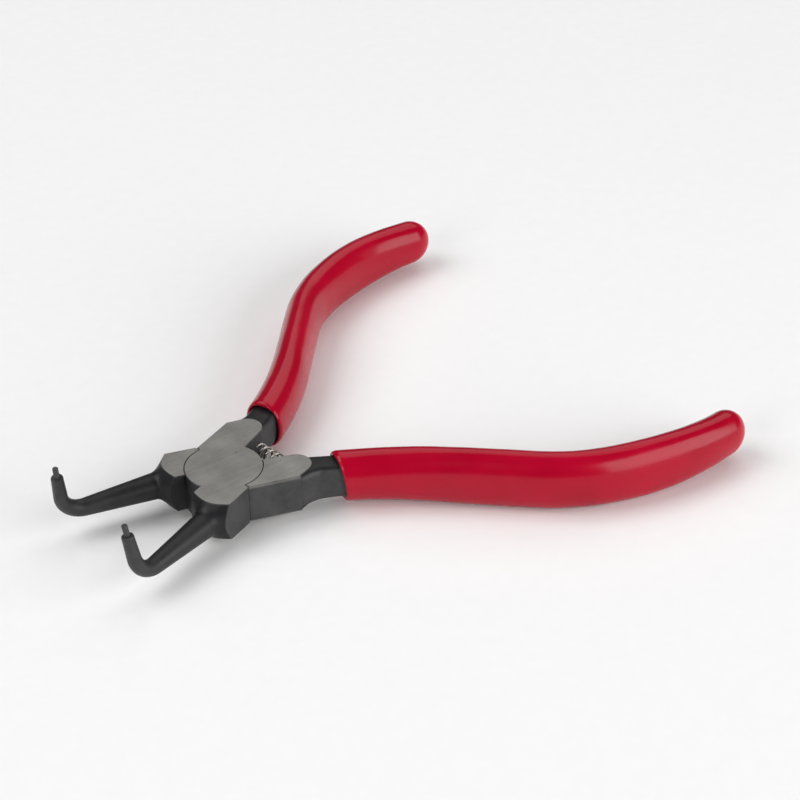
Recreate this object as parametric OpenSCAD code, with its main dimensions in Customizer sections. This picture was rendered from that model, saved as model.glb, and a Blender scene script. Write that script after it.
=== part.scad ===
// Circlip pliers for internal rings, with bent tips and dipped grips.
// The origin is on the pivot axis at the head's underside, +X to the handles, +Z to the tips.
// The pose is fully open: the side stops of both levers are together.

/* [Head] */
// Thickness of the head, over both laps of the joint
head_t = 8.6; // [7:0.1:12]
// Radius of the round lap that carries the pivot
lap_r = 7.95; // [7:0.05:9]
// Radial gap between a lap and the pocket it turns in
lap_gap = 0.1; // [0.05:0.01:0.2]
// Gap between the two laps, and between the side stops when open
face_gap = 0.1; // [0.04:0.01:0.2]
// Distance of the side stops' outer corners from the middle plane
stop_y = 9.2; // [9:0.1:10.5]
// How far the side stops lie in front of the pivot axis
stop_x = 0.45; // [0.2:0.05:1]

/* [Jaw block] */
// Distance in front of the pivot axis of the jaw block's outer corner
jaw_corner_x = 6.6; // [5.5:0.1:7.5]
// Distance from the middle plane of the jaw block's outer corner
jaw_corner_y = 11.35; // [10.5:0.05:12]
// Radius of the rounded front of the jaw block
jaw_front_r = 6.6; // [6.4:0.05:7.5]
// Distance of the jaw block's front from the pivot axis
jaw_front_x = 10.2; // [9.5:0.1:11]
// Angle that each jaw turns from fully open to closed
jaw_travel = 19; // [10:0.5:19.5]
// Angle left between each jaw's inner face and the middle plane when closed
jaw_spare = 0.6; // [0.3:0.1:2]

/* [Jaw arm] */
// Distance from the middle plane of the arm's axis at the jaw block
arm_y = 7.85; // [7:0.05:8.5]
// Distance in front of the pivot axis at which that is measured
arm_x = 8; // [7:0.1:8.5]
// Angle of the arm outwards from straight ahead
arm_out = 14.9; // [10:0.1:18]
// Angle of the arm downwards
arm_down = 2.4; // [0:0.1:5]
// Length of the straight arm, from the jaw block to the bend
arm_len = 18.1; // [12:0.1:24]
// Radius of the arm where it leaves the cove
arm_root_r = 2.95; // [2.6:0.05:3.4]
// Radius of the arm in the bend
arm_bend_r = 1.7; // [1.5:0.05:2]
// How much the cove widens the arm's radius towards the jaw block
cove_rise = 0.95; // [0.6:0.05:1.35]
// Length of the cove along the arm
cove_len = 2.8; // [2:0.1:4]
// How far the cove runs out in front of the jaw block
cove_out = 1.9; // [1:0.1:3]
// Bend radius on the arm's axis
bend_r = 4.8; // [4:0.1:6]
// Angle of the bend
bend_angle = 87; // [75:1:95]
// Lean of the bent tips towards the middle plane
tip_lean = 8.2; // [0:0.1:9]
// Length of the tapered end behind the tip pin
tip_len = 5.5; // [4:0.1:8]
// Radius of the tapered end at its shoulder
tip_r = 1.28; // [1.1:0.02:1.5]
// Chamfer round the shoulder
tip_chamfer = 0.25; // [0.1:0.05:0.4]

/* [Tip pin] */
// Diameter of the tip pin
pin_d = 1.2; // [0.9:0.05:1.4]
// Diameter of the pin's root, pressed into the jaw
pin_root_d = 0.8; // [0.5:0.05:0.85]
// Length of the pin that stands out of the jaw
pin_out = 2.5; // [1.5:0.1:4]
// Length of the root inside the jaw
pin_in = 4; // [2:0.1:5]
// Chamfer at the end of the pin
pin_chamfer = 0.12; // [0.05:0.01:0.25]

/* [Handle block] */
// Distance behind the pivot axis of the handle block's outer corner
block_corner_x = 9.8; // [9:0.1:10.5]
// Distance from the middle plane of the handle block's outer corner
block_corner_y = 12.9; // [12.4:0.1:13.4]
// Distance behind the pivot axis of the middle of the block's round end
neck_x = 11.8; // [11:0.1:13]
// Distance from the middle plane of the middle of the block's round end
neck_y = 8.45; // [8:0.05:9]
// Radius of the block's round end
neck_r = 3.25; // [3:0.05:3.6]
// Angle of the block's inner face from the middle plane
block_inner = 24; // [21:0.5:27]
// Depth of the step from the block's outer corner to the neck
step_in = 0.8; // [0.4:0.1:1.2]
// Chamfer along the block's outer side
block_chamfer = 0.4; // [0.1:0.05:0.8]

/* [Rivet] */
// Diameter of the rivet's shank
rivet_d = 5; // [4:0.1:6]
// Diameter of the rivet's flush heads
rivet_head_d = 7; // [6.4:0.1:8]
// Depth of the countersink under a head
rivet_head_h = 1.2; // [0.6:0.1:1.8]
// Radial gap in the lap that turns on the rivet
rivet_running_gap = 0.05; // [0.02:0.01:0.1]
// Radial gap in the lap that the rivet is set in, and round the tip pins
set_gap = 0.02; // [0.01:0.01:0.04]

/* [Handle path] */
// Heading of the handle where it leaves the block
heading_neck = 26; // [22:0.5:30]
// Heading of the straight stretch
heading_bow = 45.5; // [38:0.5:50]
// Heading after the knee
heading_knee = 24; // [15:0.5:30]
// Heading at the end
heading_end = -8.5; // [-15:0.5:5]
// Radius of the bow behind the block
bow_r = 88; // [60:1:120]
// Length of the straight stretch
straight_len = 18.6; // [10:0.1:30]
// Radius of the knee
knee_r = 38.7; // [25:0.1:60]
// Radius of the tail
tail_r = 57; // [40:0.5:80]
// Length of the steel past the tail's curve
steel_tail = 0.2; // [0:0.1:6]

/* [Grip] */
// Distance of the grip's mouth from the middle of the block's round end
mouth_s = 8.6; // [8:0.1:14]
// How far the mouth's top lies nearer the head than its middle
mouth_slant = 0.9; // [0:0.1:1.5]
// Width of the grip at its mouth
grip_w_mouth = 8.8; // [8.4:0.1:10]
// Width of the grip in the palm
grip_w = 8.1; // [7:0.1:10]
// Height of the grip at its mouth
grip_h_mouth = 11.2; // [10.6:0.1:13]
// Height of the grip in the palm
grip_h_palm = 13; // [11:0.1:15]
// Height of the grip where its end begins to round
grip_h_end = 10.2; // [9:0.1:13]
// Wall of the dipped sleeve
grip_wall = 1; // [0.8:0.1:1.6]
// Gap between the sleeve and the steel
sleeve_gap = 0.04; // [0.02:0.01:0.1]
// Thickness of the sleeve's closed end
grip_end_t = 2.2; // [1.5:0.1:4]
// Width of the handle's neck between block and grip
neck_w = 5.9; // [5:0.1:6.2]
// Height of the handle's neck between block and grip
neck_h = 8.3; // [6.5:0.1:8.6]
// How square the neck's section is at the block: 2 is an oval
neck_square = 4.5; // [3:0.1:6]
// Width of the steel in the grip's mouth
core_w = 6.4; // [5.8:0.1:6.6]
// Height of the steel in the grip's mouth
core_h = 7.9; // [7.4:0.1:8.4]
// How square the steel is in the grip's mouth
core_square = 3.3; // [2:0.1:3.5]
// How much wider the neck is on its outer side at the block
neck_flare = 1.7; // [0:0.1:1.8]
// Length over which the neck narrows from that to its own width
flare_len = 5; // [3:0.1:7]

/* [Spring] */
// Distance of the spring's axis from the pivot axis
spring_x = 13; // [12.6:0.1:13.4]
// Outer diameter of the spring
spring_d = 3.1; // [2.6:0.1:3.4]
// Diameter of the spring's wire
wire_d = 0.5; // [0.3:0.05:0.6]
// Number of turns
spring_turns = 12.5; // [8:0.5:13]
// Angle of the spring's axis, its far end towards the head
spring_slant = 6; // [0:0.5:7]
// Distance of each spring seat's floor from the spring's middle
seat_y = 9.6; // [8.5:0.1:10]
// Radial gap round the spring in its seats
seat_gap = 0.25; // [0.1:0.05:0.4]

/* [Hidden] */
$fn = 96;
eps = 0.01;
far = 4 * head_t;
mid_z = head_t / 2;
steel = "#3b3b3d";
bright = "#92908b";
red = "#b3062b";

// Corners of the blocks, for the lever whose jaw and handle both lie at +Y
jaw_face = jaw_travel + jaw_spare;
jaw_corner = [-jaw_corner_x, jaw_corner_y];
jaw_stop = [-stop_x - face_gap / 2, stop_y];
jaw_side = (jaw_corner - jaw_stop) / norm(jaw_corner - jaw_stop);
reach = 2 * (arm_x + arm_len);
jaw_centre = [jaw_front_r - jaw_front_x, jaw_corner_y
              - sqrt(pow(jaw_front_r, 2) - pow(jaw_front_r - jaw_front_x + jaw_corner_x, 2))];
neck = [neck_x, neck_y];
block_corner = [block_corner_x, block_corner_y];
step_dir = [sin(40), -cos(40)];
inner_dir = [cos(block_inner), sin(block_inner)];
inner_foot = neck + 0.98 * neck_r * [inner_dir[1], -inner_dir[0]];
outer_foot = neck + 0.98 * neck_r * [cos(75), sin(75)];

// How far the arm's cone reaches back into the jaw block
arm_back = 1;

// The tapered end starts a little inside the bend, and a little thinner than it
tip_root = 0.4;
tip_step = 0.05;

// The handle's path: arc, straight, arc, arc, each given by its length and the heading at its start
function arc_len(r, from, to) = r * abs(to - from) * PI / 180;
legs = [[arc_len(bow_r, heading_neck, heading_bow), heading_neck, heading_bow],
        [straight_len, heading_bow, heading_bow],
        [arc_len(knee_r, heading_bow, heading_knee), heading_bow, heading_knee],
        [arc_len(tail_r, heading_knee, heading_end), heading_knee, heading_end],
        [steel_tail + grip_end_t, heading_end, heading_end]];

// Chord of a leg that is followed for a length s: a straight, or part of a circle
function chord(leg, s) =
    let (turn = (leg[2] - leg[1]) * s / leg[0], half = turn / 2,
         len = abs(turn) < 0.001 ? s : s * sin(half) / (half * PI / 180))
    len * [cos(leg[1] + half), sin(leg[1] + half)];
function path_at(s, i = 0) =
    s <= legs[i][0] || i == len(legs) - 1
        ? chord(legs[i], s)
        : chord(legs[i], legs[i][0]) + path_at(s - legs[i][0], i + 1);
function heading_at(s, i = 0) =
    s <= legs[i][0] || i == len(legs) - 1
        ? legs[i][1] + (legs[i][2] - legs[i][1]) * min(s, legs[i][0]) / legs[i][0]
        : heading_at(s - legs[i][0], i + 1);
function total(list, i = 0) = i == len(list) ? 0 : list[i][0] + total(list, i + 1);
grip_end_s = total(legs);
steel_end_s = grip_end_s - grip_end_t;
grip_len = grip_end_s - mouth_s;

// Half sizes [across, up] of the grip and of the steel at a distance s along the handle
function ease(t) = let (c = min(max(t, 0), 1)) c * c * (3 - 2 * c);
function blend(a, b, t) = a + (b - a) * ease(t);
palm_s = mouth_s + 0.35 * grip_len;
waist_s = mouth_s + 0.7 * grip_len;
function grip_half(s) =
    let (from_mouth = (s - mouth_s) / (palm_s - mouth_s),
         to_end = (s - waist_s) / (grip_end_s - waist_s))
    [blend(grip_w_mouth, grip_w, from_mouth),
     blend(blend(grip_h_mouth, grip_h_palm, from_mouth), grip_h_end, to_end)] / 2;
function core_half(s) = blend([core_w, core_h] / 2, grip_half(s) - (grip_wall + sleeve_gap) * [1, 1],
                              (s - mouth_s) / (palm_s - mouth_s));
function steel_half(s) = blend([neck_w, neck_h] / 2, core_half(s), s / mouth_s);

// One ring across the handle at s, with half sizes h and squareness n, leaning at the grip's mouth
sides = 28;
function flare(s) = neck_flare * (1 - ease(s / flare_len));
function squareness(s) =
    blend(blend(neck_square, core_square, s / mouth_s), 2, (s - mouth_s) / (palm_s - mouth_s));
function power(c, n) = sign(c) * pow(abs(c), 2 / n);
function lean(s) = mouth_slant * ease(s / mouth_s) * (1 - ease((s - mouth_s) / (2 * mouth_s)));
function ring(s, h, n = 2) =
    let (p = neck + path_at(s), a = heading_at(s))
    [for (k = [0:sides - 1])
        let (t = 360 * k / sides, c = power(cos(t), n), v = power(sin(t), n), d = -lean(s) * v,
             u = c * (h[0] + (c > 0 ? flare(s) : 0)))
        [p[0] - u * sin(a) + d * cos(a), p[1] + u * cos(a) + d * sin(a), mid_z + h[1] * v]];

// Stations along the handle inside the sleeve, shared by the steel and the sleeve's cavity
lip = (grip_w_mouth - core_w) / 4;
core_steps = 18;
core_s = [for (i = [0:core_steps]) mouth_s + lip + (steel_end_s - mouth_s - lip) * i / core_steps];

// Skin over a list of rings, closed at both ends
module loft(rings) {
    n = len(rings[0]);
    last = len(rings) - 1;
    points = [for (r = rings) each r];
    walls = [for (i = [0:last - 1], k = [0:n - 1]) let (a = i * n, b = a + n, m = (k + 1) % n)
        each [[a + k, b + k, a + m], [a + m, b + k, b + m]]];
    polyhedron(points, concat([[for (k = [0:n - 1]) k]], walls,
                              [[for (k = [n - 1:-1:0]) last * n + k]]), convexity = 6);
}

// Wedge between the jaw's outer side and its inner face, open to the front
module jaw_wedge() {
    polygon([[-face_gap, 0], jaw_stop, jaw_stop + reach * jaw_side,
             reach * [-cos(jaw_face), sin(jaw_face)]]);
}

// Outline of the jaw block: the wedge, with a rounded front
module jaw_outline() {
    intersection() {
        translate(jaw_centre) circle(jaw_front_r);
        jaw_wedge();
    }
}

// Outline of the handle block, from the side stop to the round end and the inner face
module block_outline() {
    polygon([[face_gap, 0], [-stop_x + face_gap / 2, stop_y], block_corner,
             block_corner + step_in * step_dir, outer_foot, neck, inner_foot,
             inner_foot - (inner_foot[0] - rivet_head_d / 2) / inner_dir[0] * inner_dir]);
    translate(neck) circle(neck_r);
}

// Chamfer tool along the handle block's outer side, at the top face
module side_chamfer() {
    run = block_corner - [-stop_x, stop_y];
    translate([-stop_x, stop_y, head_t]) rotate([0, 0, atan2(run[1], run[0])]) rotate([45, 0, 0])
        translate([-far / 2, -block_chamfer / sqrt(2), -block_chamfer])
            cube([far, 2 * block_chamfer, 2 * block_chamfer]);
}

// Places what follows at the jaw block, with +X along the arm and +Z in the plane of the bend
module at_arm() {
    translate([-arm_x, arm_y, mid_z]) rotate([0, 0, 180 - arm_out]) rotate([0, arm_down, 0])
        rotate([-tip_lean, 0, 0]) children();
}

// Places what follows at the end of the bend, with +Z along the bent tip
module at_tip() {
    at_arm() translate([arm_len, 0, bend_r]) rotate([0, -bend_angle, 0]) translate([0, 0, -bend_r])
        rotate([0, 90, 0]) children();
}

// Straight arm: a cone with a cove at the jaw block, turned about the arm's axis
module arm_cone() {
    cove_end = jaw_front_x - arm_x + cove_out;
    cove_steps = 8;
    rotate([0, 90, 0]) rotate_extrude() polygon(concat(
        [[0, -arm_back], [arm_root_r + cove_rise, -arm_back]],
        [for (i = [0:cove_steps]) let (t = 90 * i / cove_steps)
            [arm_root_r + cove_rise * (1 - sin(t)), cove_end - cove_len * cos(t)]],
        [[arm_bend_r, arm_len], [0, arm_len]]));
}

// The bent jaw: cone, bend and tapered end, with the bore for the tip pin
module jaw_arm() {
    difference() {
        union() {
            intersection() {
                at_arm() arm_cone();
                linear_extrude(head_t) jaw_wedge();
            }
            at_arm() translate([arm_len, 0, bend_r]) rotate([90, 0, 0]) rotate([0, 0, -90])
                rotate_extrude(angle = bend_angle) translate([bend_r, 0]) circle(arm_bend_r);
            at_tip() {
                translate([0, 0, -tip_root])
                    cylinder(h = tip_root + tip_len - tip_chamfer, r1 = arm_bend_r - tip_step, r2 = tip_r);
                translate([0, 0, tip_len - tip_chamfer])
                    cylinder(h = tip_chamfer, r1 = tip_r, r2 = tip_r - tip_chamfer);
            }
        }
        at_tip() translate([0, 0, tip_len - pin_in - set_gap])
            cylinder(h = pin_in + 1, d = pin_root_d + 2 * set_gap);
    }
}

// Handle's steel from inside the block to its end in the grip
module shank() {
    neck_steps = 8;
    start = -neck_r / 2;
    neck_s = [for (i = [0:neck_steps - 1]) start + (core_s[0] - start) * i / neck_steps];
    loft([for (s = concat(neck_s, core_s)) ring(s, steel_half(s), squareness(s))]);
}

// Places what follows at the spring's middle, with +Y along its axis
module at_spring(slant) {
    translate([spring_x, 0, mid_z]) rotate([0, 0, slant]) children();
}

// Jaw, lap and handle of one lever, jaw at +Y and handle at -Y, with its lap from z0 to z1
module lever(z0, z1, slant) {
    difference() {
        union() {
            difference() {
                union() {
                    linear_extrude(head_t) jaw_outline();
                    jaw_arm();
                    mirror([0, 1, 0]) shank();
                    mirror([0, 1, 0]) difference() {
                        linear_extrude(head_t) block_outline();
                        side_chamfer();
                        translate([0, 0, head_t]) mirror([0, 0, 1]) side_chamfer();
                    }
                }
                cylinder(h = 3 * far, r = lap_r + lap_gap, center = true);
            }
            intersection() {
                union() {
                    linear_extrude(head_t) jaw_outline();
                    mirror([0, 1, 0]) linear_extrude(head_t) block_outline();
                    cylinder(h = head_t, r = lap_r);
                }
                translate([0, 0, z0]) cylinder(h = z1 - z0, r = lap_r + lap_gap + eps);
            }
        }
        mirror([0, 1, 0]) at_spring(slant) translate([0, seat_y, 0]) rotate([90, 0, 0])
            cylinder(h = seat_y, d = spring_d + 2 * seat_gap);
    }
}

module rivet(grow) {
    cylinder(h = head_t, d = rivet_d + 2 * grow);
    cylinder(h = rivet_head_h, d1 = rivet_head_d + 2 * grow, d2 = rivet_d + 2 * grow);
    translate([0, 0, head_t - rivet_head_h])
        cylinder(h = rivet_head_h, d1 = rivet_d + 2 * grow, d2 = rivet_head_d + 2 * grow);
}

module tip_pin() {
    at_tip() translate([0, 0, tip_len]) {
        translate([0, 0, -pin_in]) cylinder(h = pin_in + pin_out / 2, d = pin_root_d);
        cylinder(h = pin_out - pin_chamfer, d = pin_d);
        translate([0, 0, pin_out - pin_chamfer])
            cylinder(h = pin_chamfer, d1 = pin_d, d2 = pin_d - 2 * pin_chamfer);
    }
}

// Dipped sleeve: one skin from the cavity's floor to the lip, then along the outside to the round end
module grip() {
    round_len = grip_h_end / 2;
    outer_steps = 26;
    lip_steps = 4;
    cap_steps = 7;
    function cavity(s) = ring(s, core_half(s) + sleeve_gap * [1, 1], squareness(s));
    floor = ring(steel_end_s + sleeve_gap, core_half(steel_end_s) + sleeve_gap * [1, 1]);
    inner = [for (i = [core_steps:-1:0]) cavity(core_s[i])];
    rim = [for (i = [1:2 * lip_steps - 1]) let (t = 90 * i / lip_steps, s = mouth_s + lip * (1 - sin(t)))
        cavity(s) * (1 + cos(t)) / 2 + ring(s, grip_half(s)) * (1 - cos(t)) / 2];
    outer = [for (i = [0:outer_steps])
        let (s = mouth_s + lip + (grip_len - lip - round_len) * i / outer_steps)
        ring(s, grip_half(s))];
    cap = [for (i = [1:cap_steps]) let (t = 84 * i / cap_steps, s = grip_end_s - round_len * (1 - sin(t)))
        ring(s, grip_half(s) * cos(t))];
    loft(concat([floor], inner, rim, outer, cap));
}

// Coil from one seat to the other, its end turns closed up
module coil() {
    per_turn = 12;
    wire_sides = 8;
    mean_r = (spring_d - wire_d) / 2;
    half_len = seat_y - set_gap - wire_d / 2;
    steps = round(spring_turns * per_turn);
    closed = 1 / spring_turns;
    function along(t) = t < closed ? t * closed_rise : t > 1 - closed ? 1 - (1 - t) * closed_rise
        : closed * closed_rise + (t - closed) * (1 - 2 * closed * closed_rise) / (1 - 2 * closed);
    closed_rise = 1.1 * wire_d / (2 * half_len * closed);
    at_spring(spring_slant) loft([for (i = [0:steps])
        let (t = i / steps, a = 360 * spring_turns * t, y = half_len * (2 * along(t) - 1))
        [for (k = [0:wire_sides - 1]) let (w = 360 * k / wire_sides, r = mean_r + wire_d / 2 * cos(w))
            [r * cos(a), y + wire_d / 2 * sin(w), r * sin(a)]]]);
}

module upper_lever() {
    color(steel) difference() {
        mirror([0, 1, 0]) lever(mid_z + face_gap / 2, head_t, spring_slant);
        rivet(set_gap);
    }
}

module lower_lever() {
    color(steel) difference() {
        lever(0, mid_z - face_gap / 2, -spring_slant);
        rivet(rivet_running_gap);
    }
}

module pivot_rivet() {
    color(bright) rivet(0);
}

module return_spring() {
    color(bright) coil();
}

module upper_tip_pin() {
    color(steel) mirror([0, 1, 0]) tip_pin();
}

module lower_tip_pin() {
    color(steel) tip_pin();
}

module upper_grip() {
    color(red) grip();
}

module lower_grip() {
    color(red) mirror([0, 1, 0]) grip();
}

upper_lever();
lower_lever();
pivot_rivet();
return_spring();
upper_tip_pin();
lower_tip_pin();
upper_grip();
lower_grip();
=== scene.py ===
# %% [markdown]
# # Circlip pliers with bent tips and dipped grips
#
# A small riveted hand tool for internal retaining rings: two crossed forged levers, a flush rivet,
# a coil spring that pushes the handles apart, two thin tip pins and two red dipped sleeves.
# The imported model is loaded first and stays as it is. Each piece of it is then dressed by a finer
# surface worked out with numpy in the same frame, so nothing has to be fitted by eye.

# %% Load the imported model
import math

import bpy
import numpy as np
from mathutils import Matrix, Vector
from mathutils.geometry import tessellate_polygon


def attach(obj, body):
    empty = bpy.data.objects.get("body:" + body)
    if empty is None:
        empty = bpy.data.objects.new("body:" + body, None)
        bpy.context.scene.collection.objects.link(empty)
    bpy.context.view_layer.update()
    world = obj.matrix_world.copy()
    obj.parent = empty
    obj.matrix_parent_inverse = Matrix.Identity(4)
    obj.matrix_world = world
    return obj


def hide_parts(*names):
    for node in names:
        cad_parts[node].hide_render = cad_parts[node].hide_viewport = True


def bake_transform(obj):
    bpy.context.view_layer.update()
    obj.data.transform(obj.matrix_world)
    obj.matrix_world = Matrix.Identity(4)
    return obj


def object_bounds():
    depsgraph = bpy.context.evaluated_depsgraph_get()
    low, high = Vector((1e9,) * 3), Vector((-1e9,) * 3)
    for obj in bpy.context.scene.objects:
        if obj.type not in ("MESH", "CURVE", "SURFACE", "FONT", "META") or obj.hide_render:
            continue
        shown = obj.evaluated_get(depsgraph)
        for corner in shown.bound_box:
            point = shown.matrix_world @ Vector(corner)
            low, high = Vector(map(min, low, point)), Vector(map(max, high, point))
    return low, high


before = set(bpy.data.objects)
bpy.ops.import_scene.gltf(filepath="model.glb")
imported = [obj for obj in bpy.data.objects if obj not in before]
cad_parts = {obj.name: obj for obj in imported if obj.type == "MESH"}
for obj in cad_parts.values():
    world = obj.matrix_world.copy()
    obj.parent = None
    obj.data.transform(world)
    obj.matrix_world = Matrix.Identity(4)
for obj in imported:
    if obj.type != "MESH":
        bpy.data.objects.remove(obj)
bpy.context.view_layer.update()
scene = bpy.context.scene
MM = 0.001
print("nodes:", sorted(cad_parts))

# %% [markdown]
# ## Camera
#
# The photograph was taken with a long lens from the front left, about a third of the way up.
# The camera's place was found by fitting the head's flats, the jaws and the handles to the picture,
# so it is given here as three axes and a point instead of angles set by hand.

# %% Camera
IMAGE_PX = 800
FOCAL_PX = 2488.90
camera_point = np.array([-226.283, -345.222, 296.557])
to_right = np.array([0.779244, -0.626534, -0.015279])
downward = np.array([-0.356255, -0.422767, -0.833277])
into_view = np.array([0.515617, 0.654769, -0.552645])

camera_data = bpy.data.cameras.new("camera")
camera_data.sensor_width = 36.0
camera_data.lens = camera_data.sensor_width * FOCAL_PX / IMAGE_PX
camera_data.clip_start, camera_data.clip_end = 0.01, 50.0
camera = bpy.data.objects.new("camera", camera_data)
turned_axes = np.column_stack([to_right, -downward, -into_view, camera_point * MM])
camera.matrix_world = Matrix(np.vstack([turned_axes, [0, 0, 0, 1]]).tolist())
scene.collection.objects.link(camera)
scene.camera = camera
print("lens", round(camera_data.lens, 2), "mm")

# %% [markdown]
# ## Rings, shells and pieces
#
# Almost everything here is a row of closed rings with a skin over it: a turned pin, a bent arm,
# a dipped sleeve, a coil. So one function gives the faces between rings, one turns a shell the right
# way out by the sign of its volume, and one gives its mirror image. The bmesh module could build the same
# point by point, but whole arrays keep the formulas readable and the script quick.


# %% Mesh helpers
def ring_faces(rows, columns, first=0):
    """Faces between neighbouring rings: corner (i, k) goes with (i, k+1), (i+1, k+1) and (i+1, k)."""
    i = np.arange(rows - 1)[:, None] * columns + first
    k = np.arange(columns)[None, :]
    after = (k + 1) % columns
    corners = [i + k, i + after, i + columns + after, i + columns + k]
    return np.stack(corners, axis=-1).reshape(-1, 4).tolist()


def turned_outward(points, faces):
    """Faces, reversed if the shell's volume, summed over tetrahedra from the origin, comes out negative."""
    fans = np.array([(f[0], f[j], f[j + 1]) for f in faces for j in range(1, len(f) - 1)])
    a, b, c = points[fans[:, 0]], points[fans[:, 1]], points[fans[:, 2]]
    volume = np.einsum("ij,ij->", a, np.cross(b, c)) / 6
    return faces if volume > 0 else [face[::-1] for face in faces]


def skin(rings, wear_and_sheen=0.0):
    """Shell over rings of points (rows, columns, 3), with one flat face over each end. Wear and sheen tell
    how
    much each point is paled, from 0 to 1: rubbed steel, and on some sides painted reflection of the floor."""
    rows, columns = rings.shape[:2]
    points = rings.reshape(-1, 3)
    ends = [list(range(columns)), list(range((rows - 1) * columns, rows * columns))[::-1]]
    faces = turned_outward(points, ring_faces(rows, columns) + ends)
    return points, faces, [0] * len(faces), np.broadcast_to(wear_and_sheen, (rows, columns)).ravel()


def mirrored(shell):
    """The same shell on the other side of the tool's middle plane: y changes sign, faces turn round."""
    points, faces, finish, wear_and_sheen = shell
    return points * [1, -1, 1], [face[::-1] for face in faces], finish, wear_and_sheen


print("two rings of four points have", len(ring_faces(2, 4)), "faces between them")

# %% [markdown]
# ## From shells to a piece
#
# A piece is one object that takes the place of one solid and rides on its body. Its shells may overlap
# inside, as a handle's root does in its block. A boolean could join them, but it leaves slivers along the
# cut, and nothing of the inside shows. Smooth shading with an angle above which edges stay sharp keeps
# ground and turned edges crisp.


# %% Piece helper
def make_piece(name, shells, materials, node, body=None, sharp_deg=35):
    """One object from shells in millimetres, whose point numbers go on from shell to shell. Edges sharper
    than sharp_deg stay crisp, and wear, with its painted sheen, becomes an attribute of the points."""
    points, faces, finish, wear_and_sheen = [], [], [], []
    for shell_points, shell_faces, shell_finish, shell_wear in shells:
        first = sum(len(p) for p in points)
        points.append(shell_points)
        faces += [[corner + first for corner in face] for face in shell_faces]
        finish += shell_finish
        wear_and_sheen.append(shell_wear)
    mesh = bpy.data.meshes.new(name)
    mesh.from_pydata((np.vstack(points) * MM).tolist(), [], faces)
    for material in materials:
        mesh.materials.append(material)
    mesh.attributes.new("wear_and_sheen", "FLOAT", "POINT").data.foreach_set("value", np.concatenate(wear_and_sheen))
    mesh.polygons.foreach_set("material_index", finish)
    mesh.polygons.foreach_set("use_smooth", [True] * len(faces))
    mesh.set_sharp_from_angle(angle=math.radians(sharp_deg))
    mesh.update()
    piece = bpy.data.objects.new(name, mesh)
    scene.collection.objects.link(piece)
    if body:
        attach(piece, body)
    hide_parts(node)
    print(name, len(mesh.vertices), "points")
    return piece


# %% [markdown]
# ## Colours and nodes
#
# Colours are read as sRGB hex values, the way a paint chart gives them, and turned to the linear
# values that the renderer works in. One small function adds a node with its settings and its links,
# so a material reads from top to bottom like a recipe.


# %% Colour and node helpers
def linear(hex_colour):
    """Linear RGBA of an sRGB hex colour: the power curve of the standard, with its straight toe."""
    srgb = np.array([int(hex_colour[i:i + 2], 16) for i in (1, 3, 5)]) / 255
    rgb = np.where(srgb <= 0.04045, srgb / 12.92, ((srgb + 0.055) / 1.055) ** 2.4)
    return [*rgb.tolist(), 1.0]


def add(tree, kind, inputs=None, links=None, **settings):
    """Adds a node: settings are its attributes, inputs its constants, links the sockets that feed it."""
    node = tree.nodes.new(kind)
    for key, value in settings.items():
        setattr(node, key, value)
    for key, value in (inputs or {}).items():
        node.inputs[key].default_value = value
    for key, (source, output) in (links or {}).items():
        tree.links.new(source.outputs[output], node.inputs[key])
    return node


def new_material(name):
    """An empty node material, its node tree, and the node in it that gives Object coordinates."""
    material = bpy.data.materials.new(name)
    material.use_nodes = True
    tree = material.node_tree
    tree.nodes.clear()
    return material, tree, add(tree, "ShaderNodeTexCoord")


def per_metre(size_mm):
    """Texture scale at which one cell of a pattern is size_mm wide on the object."""
    return 1000.0 / size_mm


def ramp(tree, source, stops):
    """Colour ramp fed by a texture's value, with (position, hex or grey) stops."""
    node = add(tree, "ShaderNodeValToRGB", links={"Fac": source})
    while len(node.color_ramp.elements) < len(stops):
        node.color_ramp.elements.new(0.5)
    for element, (position, colour) in zip(node.color_ramp.elements, stops):
        element.position = position
        element.color = linear(colour) if isinstance(colour, str) else (colour, colour, colour, 1)
    return node


print("sRGB #808080 is", round(linear("#808080")[0], 3), "in linear light")

# %% [markdown]
# ## Surface-ground steel
#
# The flats of the head were ground on a wheel after forging: a bright mid grey with fine straight
# scratches, a little cloudiness, and small dark pits where the forging lay lower than the wheel.
# Scratches are a noise stretched fifty times along the grinding direction. At their real width of some
# hundredths of a millimetre they would vanish in the picture, so they are drawn about 0.2 mm wide. To the
# eye this gives a soft sheen that changes across the flat. Anisotropy in the shader could give the sheen
# alone, but the scratches also show up close. A filed chamfer is the same steel, but rougher.

# %% Ground steel
SCRATCH_STRETCH, SCRATCH_DEG = 50, 4


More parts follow.
